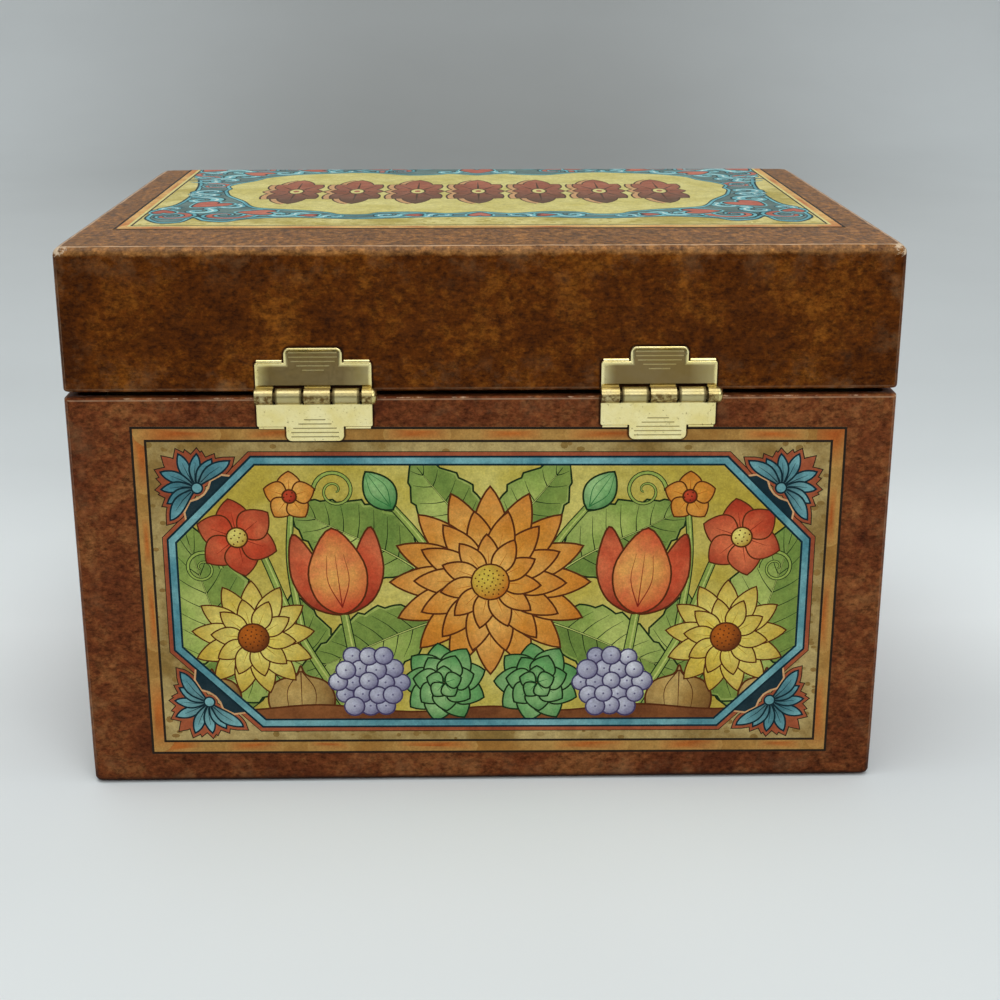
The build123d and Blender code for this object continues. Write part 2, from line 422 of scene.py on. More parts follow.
def brass_plate(name, part):
    """Bright brass plate, lightly pitted, with patina in its grooves and round its knuckles,
    painted shade at the base knuckles' ends, and painted shade with oxide on the pin between the
    knuckles. The lid's leaves bow back a little, so that they mirror the dark room, and their bowed
    middles are also painted dark as a painted reflection."""
    finish = Finish(name)
    pits = finish.noise(0.4, 3.0, 0.65, 2.0)
    rolled = finish.noise(0.5, 2.0, seed=3.0, scale=(0.08, 1.0, 1.0))
    cloud = finish.patches(4.0, 3.0, 0.55, 1.0, 0.35, 0.65)
    paint = finish.ramp(cloud, (0.0, colour(243, 224, 148)), (1.0, colour(255, 241, 180)))
    off_barrel = finish.spread(abs(finish.z - HINGE_HEIGHT), BARREL + 0.1, BARREL + 0.35)
    on_barrel = 1.0 - off_barrel
    sunk = 1.0 - finish.spread(finish.y, LEAF_FACE - 0.09, LEAF_FACE - 0.04)
    sunk = sunk * off_barrel
    place = along_hinge(finish)
    patina_and_shade = finish.spread(pits, 0.63, 0.69, 0.0, 0.8).at_least(on_barrel * 0.5)
    pitting = 0.15 if part == "lid" else 0.5
    normal = finish.bump(pits, 0.005, pitting, after=finish.bump(rolled, 0.004, 0.4))
    # dark tint for the patina and for the painted shade and reflection
    patina_shade_tint = colour(62, 46, 22)
    if part == "lid":
        patina_shade_tint = colour(98, 70, 30)
        grime = finish.patches(0.8, 4.0, 0.7, 5.0, 0.38, 0.56, 0.45, 0.95)
        lower = finish.spread(finish.z, HINGE_HEIGHT + 0.2, HINGE_HEIGHT + 0.9, 1.0, 0.25)
        patina_and_shade = patina_and_shade.at_least(grime * lower * on_barrel)
        left_end = finish.spread(place, 7.0, 9.4, 1.0, 0.4, "SMOOTHSTEP")
        right_end = finish.spread(place, -9.4, -5.0, 0.55, 1.0)
        bowed = finish.spread(leaf_depth(finish), 0.2, 0.75, 0.0, 1.0, "SMOOTHSTEP")
        bowed = bowed * (left_end * right_end) * off_barrel * (1.0 - sunk * 0.45)
        rise = (HINGE_HEIGHT + 4.0 - finish.z) * bowed
        normal = finish.bump(rise, 0.15, after=normal)
        # painted reflection: the bowed middles of the lid's leaves painted dark, for the dark room
        # that they mirror
        patina_and_shade = patina_and_shade.at_least(bowed * 0.84)
    elif part == "base":
        ends = [abs(place - middle) for middle in BASE_KNUCKLES]
        # painted shade: the base knuckles darker towards their ends, beside the gaps
        end = finish.spread(ends[0].at_most(ends[1]), 1.35, 2.05, 0.0, 0.9, "SMOOTHSTEP")
        patina_and_shade = patina_and_shade.at_least(end * on_barrel).at_least(sunk * 0.6)
    else:
        # painted shade with oxide: the pin dark but for its head, where it shows between the
        # knuckles
        patina_and_shade = finish.spread(place, -9.8, -9.6, 0.35, 0.97)
    rough = finish.spread(pits, 0.35, 0.7, 0.15, 0.3) + patina_and_shade * 0.25
    base = finish.mix(patina_and_shade, paint, patina_shade_tint)
    return finish.done(base=base, metal=1.0, rough=rough, normal=normal)


# Greys of the stage's paper, and how far they lie from y = 200, by the camera, to y = -800; the
# greys paint light and shade on the stage, with a painted light band beside the box and painted
# shade beyond it
STAGE_LIGHT_AND_SHADE_GREYS = (
    (0.0, 226), (0.12, 226), (0.18, 233), (0.222, 246), (0.276, 238),
    (0.347, 221), (0.446, 211), (0.593, 214), (0.832, 227), (1.0, 230),
)


def sweep_paper():
    """Pale stage paper with painted light and shade: lighter and darker bands across the floor,
    painted shade up the backdrop, and a painted shadow behind the box.
    """
    finish = Finish("stage_paper")
    depth = finish.spread(finish.y, 200.0, -800.0)
    paint = finish.ramp(
        depth, *((share, colour(grey, grey + 5, grey + 5)) for share, grey in STAGE_LIGHT_AND_SHADE_GREYS)
    )
    # painted shadow: a darker grey behind the box, up the backdrop
    middle = finish.spread(abs(finish.x), 60.0, 460.0, 1.0, 0.0, "SMOOTHSTEP")
    behind = finish.spread(finish.y, -250.0, -900.0, 0.0, 1.0, "SMOOTHSTEP")
    strength = finish.spread(finish.z, 0.0, 90.0, 0.66, 0.42)
    paint = finish.mix(middle * behind * strength, paint, colour(132, 130, 124))
    # painted shade: the stage darker the higher it stands
    paint = finish.shaded(paint, finish.spread(finish.z, 0.0, 90.0, 1.0, 0.91))
    paint = finish.shaded(paint, finish.patches(90.0, 2.0, 0.55, 0.0, 0.3, 0.7, 0.985, 1.015))
    return finish.done(base=paint, rough=0.75, specular=0.25)


# ---------------------------------------------------------------- meshes


def add_piece(name, points, faces, materials, body, smooth=False):
    """A closed mesh given in millimetres, as a piece that rides on a body."""
    mesh = bpy.data.meshes.new(name)
    mesh.from_pydata([[value * MM for value in point] for point in points], [], faces)
    for material in materials:
        mesh.materials.append(material)
    mesh.validate()
    if smooth:
        mesh.shade_smooth()
    piece = bpy.data.objects.new(name, mesh)
    bpy.context.collection.objects.link(piece)
    if body:
        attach(piece, body)
    return piece


CORNER_STEPS = 6
SIDE_STEPS = [0.004] + [step / 26 for step in range(1, 26)] + [0.996]
EDGE_GAP = 0.35  # from a bend to the next ring, which keeps the flat walls' shading flat
INNER_RADIUS, BOARD_RADIUS = 0.75, 0.9  # upright corners of the turned-in paper's two faces
GLUE = 0.01  # between the board and the paper's hidden face
HIDDEN_RINGS = 9  # rings at the end of a cover's list, which knocks don't reach
KNOCK_REACH = 2.2  # how far from its corner a knock dies away
EDGE_STRIP = 0.6  # width of the strip along each edge that is uneven
UNEVEN = 0.07


def ring_round(inset, radius, height):
    """Points round the box at an inset, counter-clockwise from above."""
    half_x, half_y = WIDTH / 2 - inset - radius, DEPTH / 2 - inset - radius
    quarters = ((1, 1), (-1, 1), (-1, -1), (1, -1))

    def corner(quarter, step):
        angle = math.radians(90 * (quarter + step / CORNER_STEPS))
        side_x, side_y = quarters[quarter % 4]
        x, y = side_x * half_x, side_y * half_y
        return x + radius * math.cos(angle), y + radius * math.sin(angle)

    points = []
    for quarter in range(4):
        points += [corner(quarter, step) for step in range(CORNER_STEPS + 1)]
        start, end = points[-1], corner(quarter + 1, 0)
        for share in SIDE_STEPS:
            points.append([a + (b - a) * share for a, b in zip(start, end)])
    return [(x, y, height) for x, y in points]


def outer_radius(inset):
    return max(CORNER - inset, 0.5)


def cover_rings(closed, height, fold, flange):
    """Rings of a tray's cover paper, standing on its closed side: outside, rim, inside, and
    back along the board."""
    floor = closed if flange else closed + RECESS
    bend = fold if flange else fold - RECESS
    low, high = floor + bend, height - RIM_ROUND
    outer = []
    for step in range(7):
        angle = math.radians(15 * step)
        outer.append((RECESS + bend - bend * math.sin(angle), floor + bend * (1 - math.cos(angle))))
    rows = max(3, round((high - low) / 5))
    outer.append((RECESS, low + EDGE_GAP))
    outer += [(RECESS, low + (high - low) * row / rows) for row in range(1, rows)]
    outer.append((RECESS, high - EDGE_GAP))
    rim = []
    for step in range(5):
        angle = math.radians(22.5 * step)
        rim.append((RIM_ROUND * (1 - math.cos(angle)), high + RIM_ROUND * math.sin(angle)))
    outer += [(RECESS + bent, level) for bent, level in rim]
    rings = [(3.0, 1.2, floor)]
    rings += [(inset, outer_radius(inset), level) for inset, level in outer]
    inner = 2 * SKIN + BOARD
    rings += [(inner - bent, INNER_RADIUS, level) for bent, level in rim[::-1]]
    board_face = SKIN + BOARD + GLUE
    rings += [
        (inner, INNER_RADIUS, high - 0.4),
        (inner, INNER_RADIUS, height - TURN_IN),
        (board_face, BOARD_RADIUS, height - TURN_IN),
        (board_face, BOARD_RADIUS, height - SKIN - GLUE),
        (SKIN - GLUE, outer_radius(SKIN), height - SKIN - GLUE),
        (SKIN - GLUE, outer_radius(SKIN), closed + fold),
        (fold, outer_radius(fold), closed + SKIN - GLUE),
    ]
    if flange:
        rings = [(FLANGE, CORNER, floor), *rings, (FLANGE, CORNER, closed + SKIN - GLUE)]
    return rings


def add_cover(name, closed, height, fold, flange, material, body):
    """Cover paper of one tray, its corners knocked in and its edges a little uneven."""
    points, faces = [], []
    rings = cover_rings(closed, height, fold, flange)
    for inset, radius, level in rings:
        points += ring_round(inset, radius, level)
    count = len(points) // len(rings)
    pairs = list(zip(range(len(rings) - 1), range(1, len(rings))))
    if flange:
        pairs.append((len(rings) - 1, 0))
    for low, high in pairs:
        low, high = low * count, high * count
        for place in range(count):
            after = (place + 1) % count
            faces.append((low + place, low + after, high + after, high + place))
    if not flange:
        faces.append(tuple(range(count))[::-1])
        faces.append(tuple(range((len(rings) - 1) * count, len(rings) * count)))
    knocks = random.Random(7)
    corners = [
        (side_x * WIDTH / 2, side_y * DEPTH / 2, knocks.uniform(0.10, 0.26))
        for side_x in (-1, 1)
        for side_y in (-1, 1)
    ]
    worked = []
    for number, (x, y, z) in enumerate(points):
        if number < (len(rings) - HIDDEN_RINGS) * count:
            for corner_x, corner_y, depth in corners:
                away = math.dist((x, y, z), (corner_x, corner_y, closed))
                knock = depth * math.exp(-((away / KNOCK_REACH) ** 2))
                x -= math.copysign(knock * 0.6, corner_x)
                y -= math.copysign(knock * 0.6, corner_y)
                z += knock * 0.7
            edge_x, edge_y = WIDTH / 2 - abs(x), DEPTH / 2 - abs(y)
            if sorted((edge_x, edge_y, abs(z - closed), abs(z - height)))[1] < EDGE_STRIP:
                uneven = UNEVEN * max(0.0, noise.noise(Vector((x, y, z)) * 0.16) + 0.15)
                x -= math.copysign(uneven, x) if edge_x < 0.7 else 0.0
                y -= math.copysign(uneven, y) if edge_y < 0.7 else 0.0
        worked.append((x, y, z))
    if not flange:
        worked = [(x, y, TOP - z) for x, y, z in worked]
        faces = [face[::-1] for face in faces]
    piece = add_piece(name, worked, faces, [material], body, smooth=True)
    for face in piece.data.polygons:
        if len(face.vertices) > 4:
            face.use_smooth = False
    return piece


# ---------------------------------------------------------------- drawing flat prints


def signed_area(points):
    x, y = points[:, 0], points[:, 1]
    return 0.5 * float(np.sum(x * np.roll(y, -1) - y * np.roll(x, -1)))


def tidy_loop(points):
    points = np.asarray(points, float)
    keep = np.linalg.norm(points - np.roll(points, 1, 0), axis=1) > 0.01
    return points[keep]


def grow(points, distance):
    """A closed outline moved outwards, or inwards for a negative distance."""
    points = tidy_loop(points)
    if signed_area(points) < 0:
        points = points[::-1]
    before = points - np.roll(points, 1, 0)
    after = np.roll(points, -1, 0) - points
    before /= np.linalg.norm(before, axis=1)[:, None]
    after /= np.linalg.norm(after, axis=1)[:, None]
    out_before = np.stack((before[:, 1], -before[:, 0]), 1)
    out_after = np.stack((after[:, 1], -after[:, 0]), 1)
    out = out_before + out_after
    length = np.linalg.norm(out, axis=1)
    length[length < 1e-6] = 1.0
    out /= length[:, None]
    mitre = np.clip(np.sum(out * out_before, axis=1), 0.55, 1.0)
    return points + out * (distance / mitre)[:, None]


def spline(points, steps=7, closed=False):
    """A smooth line through the points."""
    points = np.asarray(points, float)
    if closed:
        padded = np.vstack((points[-1:], points, points[:2]))
    else:
        padded = np.vstack((2 * points[:1] - points[1:2], points, 2 * points[-1:] - points[-2:-1]))
    line = []
    for index in range(1, len(padded) - 2):
        a, b, c, d = padded[index - 1 : index + 3]
        for step in range(steps):
            t = step / steps
            curved = (2 * a - 5 * b + 4 * c - d) * t * t + (3 * b - a - 3 * c + d) * t**3
            line.append(0.5 * (2 * b + (c - a) * t + curved))
    if not closed:
        line.append(padded[-2])
    return np.array(line)


def stroke(line, start, end, middle=None):
    """Outline of a line drawn with a width that goes from start through middle to end."""
    line = np.asarray(line, float)
    along = np.gradient(line, axis=0)
    along /= np.maximum(np.linalg.norm(along, axis=1), 1e-6)[:, None]
    side = np.stack((-along[:, 1], along[:, 0]), 1)
    share = np.linspace(0, 1, len(line))
    width = start + (end - start) * share
    if middle is not None:
        width += (middle - (start + end) / 2) * np.sin(np.pi * share)
    side *= width[:, None] / 2
    return np.vstack((line + side, (line - side)[::-1]))


def placed(points, at, turn=0.0, size=1.0):
    """Points drawn about the origin, turned by degrees and moved."""
    points = np.asarray(points, float) * size
    angle = math.radians(turn)
    cos, sin = math.cos(angle), math.sin(angle)
    x, y = points[:, 0], points[:, 1]
    return np.stack((at[0] + x * cos - y * sin, at[1] + x * sin + y * cos), 1)


def mirrored(points, side):
    return np.asarray(points, float) * (side, 1)


def circle(at, radius, radius_y=None, steps=20):
    angles = np.linspace(0, 2 * np.pi, steps, endpoint=False)
    return np.stack(
        (at[0] + radius * np.cos(angles), at[1] + (radius_y or radius) * np.sin(angles)), 1
    )


def rectangle(half_x, half_y):
    return np.array([(half_x, half_y), (-half_x, half_y), (-half_x, -half_y), (half_x, -half_y)])


def chamfered(half_x, half_y, cut):
    corners = []
    for side_x, side_y in ((1, 1), (-1, 1), (-1, -1), (1, -1)):
        long = (side_x * (half_x - cut), side_y * half_y)
        tall = (side_x * half_x, side_y * (half_y - cut))
        corners += [tall, long] if side_x == side_y else [long, tall]
    return np.array(corners)


def inside(points, outline):
    """Which points lie in a closed outline, by winding."""
    turns = np.zeros(len(points), int)
    x, y = points[:, 0], points[:, 1]
    for (ax, ay), (bx, by) in zip(outline, np.roll(outline, -1, 0)):
        left = (bx - ax) * (y - ay) - (x - ax) * (by - ay)
        turns += ((ay <= y) & (by > y) & (left > 0)).astype(int)
        turns -= ((ay > y) & (by <= y) & (left < 0)).astype(int)
    return turns != 0


LINE_WEIGHT = 1.2


class Print:
    """A flat print in millimetres: closed shapes laid one over another. A shape's inks are one
    ink, or an ink and the wash that pools in it. Its fade is the ink that it turns to away from a
    place, that place, and how far from it the fade is full."""

    def __init__(self, half_x, half_y, folds=()):
        self.half = half_x, half_y
        self.folds = folds
        self.shapes = []
        self.clip = None

    def lay(self, outline, inks, fade=None):
        outline = tidy_loop(outline)
        if len(outline) > 2:
            ink, wash = inks if isinstance(inks[0], tuple) else (inks, inks)
            self.shapes.append((outline, ink, wash, fade, self.clip))

    def drawn(self, outline, line, line_ink, inks, fade=None):
        """A shape with a drawn line round it."""
        half = line * LINE_WEIGHT / 2
        self.lay(grow(outline, half), line_ink)
        self.lay(grow(outline, -half), inks, fade)

    def arrange(self, spacing=1.7):
        """The shapes cut into triangles: points, triangles, each corner's ink and wash, and the
        heights of the folds and of both ends."""
        half_x, half_y = self.half
        index, points, edges = {}, [], set()

        def point(x, y):
            x, y = min(max(x, -half_x), half_x), min(max(y, -half_y), half_y)
            key = round(x, 3), round(y, 3)
            if key not in index:
                index[key] = len(points)
                points.append(Vector(key))
            return index[key]

        def line(loop):
            for a, b in zip(loop, loop[1:] + loop[:1]):
                if a != b:
                    edges.add((min(a, b), max(a, b)))

        line([point(x, y) for x, y in rectangle(half_x, half_y)])
        for outline, *_ in self.shapes:
            line([point(x, y) for x, y in outline])
        for fold in self.folds:
            edges.add((point(-half_x, fold), point(half_x, fold)))
        scatter = random.Random(3)
        for column in np.arange(-half_x + spacing, half_x - spacing / 2, spacing):
            for row in np.arange(-half_y + spacing, half_y - spacing / 2, spacing):
                shift = scatter.uniform(-0.3, 0.3), scatter.uniform(-0.3, 0.3)
                point(column + shift[0] * spacing, row + shift[1] * spacing)
        flat, _, triangles, *_ = delaunay_2d_cdt(points, sorted(edges), [], 0, 1e-5, False)
        flat = np.array([(p.x, p.y) for p in flat])
        triangles = np.array([face for face in triangles if len(face) == 3])
        middles = flat[triangles].mean(axis=1)
        top = np.full(len(triangles), -1)
        for number in range(len(self.shapes) - 1, -1, -1):
            outline, *_, clip = self.shapes[number]
            within = (middles >= outline.min(0)) & (middles <= outline.max(0))
            near = np.flatnonzero((top < 0) & np.all(within, axis=1))
            if len(near):
                hit = inside(middles[near], outline)
                if clip is not None:
                    hit &= inside(middles[near], clip)
                top[near[hit]] = number
        inks = np.zeros((len(triangles), 3, 4))
        washes = np.zeros_like(inks)
        for number in np.unique(top):
            _, ink, wash, fade, _ = self.shapes[number]
            where = top == number
            ink, wash = np.array(ink), np.array(wash)
            inks[where], washes[where] = ink, wash
            if fade:
                rim, focus, reach = fade
                away = np.linalg.norm(flat[triangles[where]] - np.array(focus), axis=2)
                share = np.clip(away / reach, 0, 1)[:, :, None] ** 1.5
                inks[where] = ink + (np.array(rim) - ink) * share
                washes[where] = wash + (np.array(rim) - wash) * share
        folds = sorted([-half_y, *self.folds, half_y])
        return flat, triangles, inks, washes, folds


def add_print(name, cut, place, material, body):
    """A cut print laid on the box as a thin closed sheet, with a plain back between its folds.
    place gives each flat point's place and the way that the sheet faces there."""
    flat, triangles, inks, washes, folds = cut
    points, facing = place(flat)
    first = points[triangles[0]]
    turn = np.cross(first[1] - first[0], first[2] - first[0]) @ facing[triangles[0][0]]
    if turn < 0:
        triangles = triangles[:, ::-1]
        inks, washes = inks[:, ::-1], washes[:, ::-1]
    sides = set()
    for a, b, c in triangles.tolist():
        sides.update(((a, b), (b, c), (c, a)))
    after = {a: b for a, b in sides if (b, a) not in sides}
    rim = [min(after)]
    while after[rim[-1]] != rim[0]:
        rim.append(after[rim[-1]])
    back = {point: len(points) + number for number, point in enumerate(rim)}
    under = (points - facing * RECESS)[rim]
    faces = triangles.tolist()
    faces += [[a, back[a], back[b], b] for a, b in zip(rim, rim[1:] + rim[:1])]
    for low, high in zip(folds, folds[1:]):
        faces.append([back[a] for a in rim[::-1] if low - 1e-3 < flat[a][1] < high + 1e-3])
    piece = add_piece(name, np.vstack((points, under)), faces, [material], body)
    mesh = piece.data
    for attribute, values in (("ink", inks), ("wash", washes)):
        layer = mesh.attributes.new(attribute, "FLOAT_COLOR", "CORNER")
        tints = np.ones((len(mesh.loops), 4)) * np.array(PRINT_BACK)
        tints[: values.size // 4] = values.reshape(-1, 4)
        layer.data.foreach_set("color", tints.ravel())
    return piece


# ---------------------------------------------------------------- the picture's inks

PRINT_BACK = colour(150, 120, 80)
LINE = colour(42, 34, 26)
BROWN_LINE = colour(88, 44, 20)
BAND = colour(178, 137, 74), colour(156, 110, 52)
BAND_RUST = colour(184, 102, 42), colour(162, 80, 32)
CREAM = colour(186, 164, 108), colour(138, 110, 58)
STAIN = colour(142, 108, 60)
RUST = colour(166, 90, 58), colour(146, 72, 46)
BLUE = colour(126, 178, 180), colour(76, 132, 142)
BLUE_LINE = colour(20, 42, 50)
NAVY = colour(38, 56, 62)
PEACH = colour(206, 160, 112)
YELLOW = colour(208, 198, 112), colour(188, 172, 76)
YELLOW_EDGE = colour(176, 150, 50)
ORANGE = colour(232, 178, 92), colour(214, 146, 54)
ORANGE_EDGE = colour(186, 98, 28)
RED = colour(224, 122, 78), colour(198, 74, 44)
RED_EDGE = colour(132, 36, 24)
LEMON = colour(228, 214, 116), colour(214, 188, 74)
LEMON_EDGE = colour(176, 132, 40)
LEAF = colour(186, 196, 108), colour(150, 170, 82)
LEAF_EDGE = colour(80, 118, 52)
LEAF_SHADE = colour(132, 152, 72), colour(108, 134, 62)
LEAF_LINE = colour(30, 48, 24)
BUD = colour(166, 202, 136), colour(110, 168, 98)
BUD_EDGE = colour(52, 116, 62)
LILAC = colour(216, 217, 224), colour(172, 173, 192)
LILAC_EDGE = colour(106, 100, 132)
LILAC_LINE = colour(70, 62, 96)
OCHRE = colour(206, 176, 108), colour(172, 134, 70)
OCHRE_EDGE = colour(116, 78, 38)
EARTH = colour(140, 86, 46), colour(104, 58, 32)

# Widths of drawn lines
FINE, THIN, BOLD = 0.22, 0.26, 0.28
GOLDEN_TURN = 2.39996  # radians between one seed of a flower's eye and the next
TENDRIL_TURNS = 1.6


# ---------------------------------------------------------------- flowers and leaves


def petal_outline(length, width, bend=0.0, blunt=0.85, steps=14):
    """A petal from the origin up +Y, leaning to +X by bend."""
    share = np.linspace(0, 1, steps)
    half = width / 2 * np.sin(np.pi * share**blunt) ** 0.8
    lean = bend * share**2
    left = np.stack((lean - half, length * share), 1)
    right = np.stack((lean + half, length * share), 1)
    return np.vstack((right, left[::-1][1:-1]))


def draw_flower(art, at, layers, inks, edge, line=FINE, line_ink=BROWN_LINE):
    """Petals in layers: (count, inner radius, length, width, first angle)."""
    for count, inner, length, width, first in layers:
        for number in range(count):
            turn = first + 360 * number / count
            shape = placed(petal_outline(length, width) + (0, inner), at, turn)
            tip = placed([(0, inner + length * 0.25)], at, turn)[0]
            art.drawn(shape, line, line_ink, inks, (edge, tip, length * 0.95))
            crease = [(0, inner + reach) for reach in (0.1, length * 0.3, length * 0.62)]
            art.lay(stroke(placed(crease, at, turn), 0.2, 0.05), edge)


def draw_flower_eye(art, at, radius, ink, edge, dots):
    bright = at[0] - radius * 0.3, at[1] + radius * 0.3
    art.drawn(circle(at, radius), 0.25, BROWN_LINE, ink, (edge, bright, radius * 1.4))
    for number in range(dots):
        angle = number * GOLDEN_TURN
        away = radius * 0.82 * math.sqrt((number + 0.5) / dots)
        dot = at[0] + away * math.cos(angle), at[1] + away * math.sin(angle)
        art.lay(circle(dot, 0.16, steps=7), BROWN_LINE)


def draw_leaf(art, at, turn, length, width, bend, teeth):
    """A toothed leaf with a darker half, a midrib and side veins."""
    steps = teeth * 4
    share = np.linspace(0, 1, steps + 1)
    tooth = 1 - 0.16 * ((share * teeth) % 1.0)
    tooth[0] = tooth[-1] = 1
    half = width / 2 * np.sin(np.pi * share**0.72) ** 0.8 * tooth
    lean = bend * np.sin(np.pi * share * 0.5) ** 2
    spine = np.stack((lean, length * share), 1)
    right = spine + np.stack((half, half * 0.12), 1)
    left = spine + np.stack((-half, half * 0.12), 1)
    outline = placed(np.vstack((right, left[::-1][1:-1])), at, turn)
    centre = placed([(lean[steps // 2], length * 0.45)], at, turn)[0]
    art.drawn(outline, BOLD, LEAF_LINE, LEAF, (LEAF_EDGE, centre, length * 0.62))
    dark = np.vstack((spine, (spine + (right - spine) * 0.9)[::-1][1:-1]))
    art.lay(placed(dark, at, turn), LEAF_SHADE)
    for vein in np.linspace(0.16, 0.82, teeth):
        start = int(vein * steps)
        end = min(steps, start + max(2, steps // 8))
        for edge in (left, right):
            tip = spine[end] + (edge[end] - spine[end]) * 0.84
            middle = (spine[start] + tip) / 2 + (0, -0.06 * length * 0.2)
            line = spline([spine[start], middle, tip], 4)
            art.lay(stroke(placed(line, at, turn), 0.2, 0.06), LEAF_LINE)
    art.lay(stroke(placed(spine[:-2], at, turn), 0.5, 0.12), LEAF_LINE)
    art.lay(stroke(placed(spine[:-4], at, turn), 0.22, 0.05), LEAF[0])


def draw_stem(art, points, start, end):
    line = spline(points, 8)
    art.lay(stroke(line, start + 0.45, end + 0.4), LEAF_LINE)
    art.lay(stroke(line, start, end), (LEAF[1], LEAF_SHADE[0]))
    art.lay(stroke(line + (0.12 * start, 0), start * 0.25, end * 0.2), LEAF[0])


def draw_tendril(art, at, radius, side):
    share = np.linspace(0, 1, 42)
    angle = share * TENDRIL_TURNS * 2 * np.pi
    away = radius * (1 - share) ** 0.8 + 0.25
    line = np.stack((at[0] + side * away * np.cos(angle), at[1] + away * np.sin(angle)), 1)
    art.lay(stroke(line, 0.85, 0.35), LEAF_LINE)
    art.lay(stroke(line, 0.5, 0.12), LEAF[1])


def draw_tulip(art, at, turn, size, side):
    """Two outer petals behind a front one, with creases."""
    outer = [(0, 0), (4.4, 1.6), (6.6, 6.4), (5.6, 12.6), (3.0, 9.2), (1.2, 4.0)]
    front = [(0, 0), (3.4, 2.4), (3.9, 7.6), (0, 13.0), (-3.9, 7.6), (-3.4, 2.4)]

    def in_place(points):
        return mirrored(placed(points, at, turn, size), side)

    for flip in (1, -1):
        shape = in_place(spline(np.array(outer) * (flip, 1), 5, closed=True))
        fade = RED_EDGE, shape.mean(0) + (0, 2), 7.5 * size
        art.drawn(shape, BOLD, BROWN_LINE, RED[::-1], fade)
    shape = in_place(spline(front, 5, closed=True))
    fade = RED[1], shape.mean(0) + (-1, 1.5), 6.5 * size
    art.drawn(shape, BOLD, BROWN_LINE, (ORANGE[0], RED[0]), fade)
    for lean in (-1.5, 0, 1.5):
        crease = in_place(spline([(0, 1.0), (lean, 5.0), (lean * 0.8, 9.0)], 5))
        art.lay(stroke(crease, 0.22, 0.06), RED_EDGE)


def draw_cluster(art, at, half_x, half_y, radius, seed):
    """A head of small round blossoms."""
    scatter = random.Random(seed)
    spots = []
    rows = int(half_y / radius) + 1
    for row in range(-rows, rows + 1):
        for column in range(-6, 7):
            x = (column + 0.5 * (row % 2)) * radius * 1.72
            y = row * radius * 1.5
            if (x / half_x) ** 2 + (y / half_y) ** 2 < 1:
                x = at[0] + x + scatter.uniform(-0.2, 0.2)
                spots.append((x, at[1] + y + scatter.uniform(-0.2, 0.2)))
    scatter.shuffle(spots)
    for x, y in spots:
        size = radius * scatter.uniform(0.95, 1.15)
        fade = LILAC_EDGE, (x - 0.35 * size, y + 0.4 * size), size * 1.5
        art.drawn(circle((x, y), size, steps=16), 0.24, LILAC_LINE, LILAC, fade)
        art.lay(circle((x, y), 0.2, steps=6), LILAC_EDGE)


def draw_bud(art, at, turn, length, width, side):
    shape = mirrored(placed(petal_outline(length, width, blunt=0.9), at, turn), side)
    fade = BUD_EDGE, shape.mean(0) + (-0.5, 0.8), length * 0.6
    art.drawn(shape, BOLD, LEAF_LINE, BUD, fade)
    for lean in (-0.26, 0.0, 0.26):
        rib = [(0, 0.6), (lean * width, length * 0.5), (lean * 0.3 * width, length * 0.92)]
        rib = mirrored(placed(spline(rib, 5), at, turn), side)
        art.lay(stroke(rib, 0.2, 0.08), BUD_EDGE)


def draw_bulb(art, at, size):
    """A ribbed bulb, half sunk in the earth."""
    right = [(1.0, 4.6), (4.6, 3.2), (6.2, 0), (5.0, -3.6)]
    left = [(-x, y) for x, y in right[::-1]]
    shape = placed(spline([(0, 6.4), *right, (0, -5.2), *left], 5, closed=True), at, size=size)
    fade = OCHRE_EDGE, shape.mean(0) + (-1.5, 1.0), 8.5 * size
    art.drawn(shape, BOLD, BROWN_LINE, OCHRE, fade)
    for lean in (-1, 0, 1):
        rib = spline([(0.1 * lean, 5.4), (lean * 2.6, 1.4), (lean * 2.2, -3.8)], 6)
        art.lay(stroke(placed(rib, at, size=size), 0.22, 0.08), BROWN_LINE)


LEAVES = (  # x, y, turn, length, width, bend, teeth
    (43.0, -22.0, -12, 37.0, 19.0, 2.0, 8),
    (3.0, 11.0, -34, 17.0, 11.0, 1.0, 5),
    (13.0, 5.0, -54, 24.0, 15.0, 3.0, 7),
    (29.0, -24.0, -10, 25.0, 13.0, 1.0, 6),
    (36.0, -13.0, -112, 20.0, 11.0, -2.0, 6),
    (10.0, -5.0, -108, 26.0, 13.0, 2.0, 7),
)
STEMS = (  # points, width at the start and at the end
    (((20, -25), (23.5, -14), (25.5, -3)), 1.7, 1.2),
    (((28, -25), (36, -16), (41.5, -9)), 1.5, 1.1),
    (((24, -24), (33, -8), (38.5, 6), (41.0, 12)), 1.3, 0.9),
    (((33, -6), (34.5, 6), (34.0, 16)), 1.1, 0.8),
    (((8, 4), (12.5, 11), (17.0, 16.5)), 1.2, 0.9),
)
EARTH_TOP = (
    (55, -20.6), (40, -21.8), (26, -20.8), (12, -22.0), (0, -21.2),
    (-14, -22.2), (-30, -20.8), (-44, -21.8), (-55, -20.8),
)


